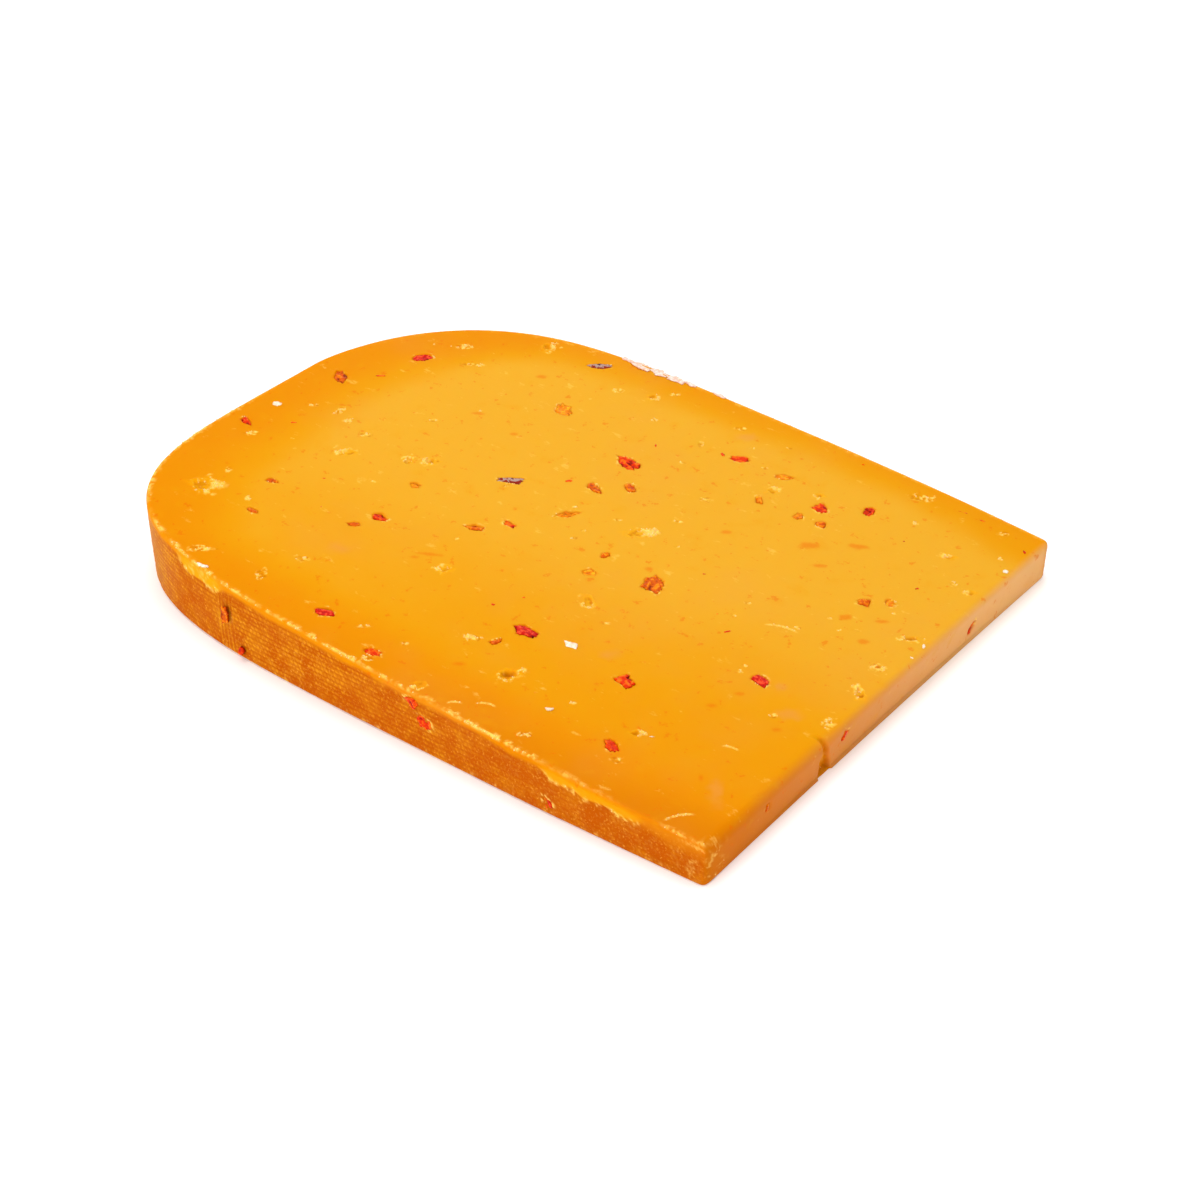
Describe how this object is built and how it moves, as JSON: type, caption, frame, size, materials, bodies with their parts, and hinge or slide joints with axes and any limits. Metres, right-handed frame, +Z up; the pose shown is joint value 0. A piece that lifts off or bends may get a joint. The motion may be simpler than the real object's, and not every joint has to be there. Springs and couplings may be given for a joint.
{
  "type": "cheese wedge",
  "caption": "Thin flat wedge of pressed orange cheese with chilli flakes, one end rounded by the rind and the other cut straight, lying on a broad cut face.",
  "frame": {"origin": "middle of the wedge's box, on the surface that its broad cut face rests on", "axes": "+X along the wedge from the rounded rim to the straight cut, +Y across it from the near flat rind to the far one, +Z up"},
  "size_m": [0.1558, 0.12, 0.0178],
  "materials": {
    "cheese": "waxy satin pressed cheese, deeper orange near the rind, with a cloth-printed matt rind",
    "chilli_red": "dried red chilli skin, slightly glossy",
    "chilli_orange": "dried orange chilli skin, slightly glossy",
    "chilli_purple": "dried dark purple-grey chilli skin, slightly glossy"
  },
  "bodies": {
    "root": {"cheese_wedge": "cheese", "chilli_flake_01": "chilli_red", "chilli_flake_02": "chilli_red", "chilli_flake_03": "chilli_red", "chilli_flake_04": "chilli_red", "chilli_flake_05": "chilli_red", "chilli_flake_06": "chilli_red", "chilli_flake_07": "chilli_purple", "chilli_flake_08": "chilli_red", "chilli_flake_09": "chilli_red", "chilli_flake_10": "chilli_orange", "chilli_flake_11": "chilli_purple", "chilli_flake_12": "chilli_red", "chilli_flake_13": "chilli_orange", "chilli_flake_14": "chilli_red", "chilli_flake_15": "chilli_red", "chilli_flake_16": "chilli_orange", "chilli_flake_17": "chilli_orange", "chilli_flake_18": "chilli_red", "chilli_flake_19": "chilli_red", "chilli_flake_20": "chilli_red", "chilli_flake_21": "chilli_orange", "chilli_flake_22": "chilli_red", "chilli_flake_23": "chilli_red", "chilli_flake_24": "chilli_red", "chilli_flake_25": "chilli_orange", "chilli_flake_26": "chilli_orange", "chilli_flake_27": "chilli_orange", "chilli_flake_28": "chilli_orange", "chilli_flake_29": "chilli_red", "chilli_flake_30": "chilli_red", "chilli_flake_31": "chilli_red", "chilli_flake_32": "chilli_red", "chilli_flake_33": "chilli_red", "chilli_flake_34": "chilli_red", "chilli_flake_35": "chilli_red", "chilli_flake_36": "chilli_orange", "chilli_flake_37": "chilli_orange", "chilli_flake_38": "chilli_red", "chilli_flake_39": "chilli_red", "chilli_flake_40": "chilli_orange", "chilli_flake_41": "chilli_red", "chilli_flake_42": "chilli_red", "chilli_flake_43": "chilli_red", "chilli_flake_44": "chilli_red"}
  },
  "joints": []
}
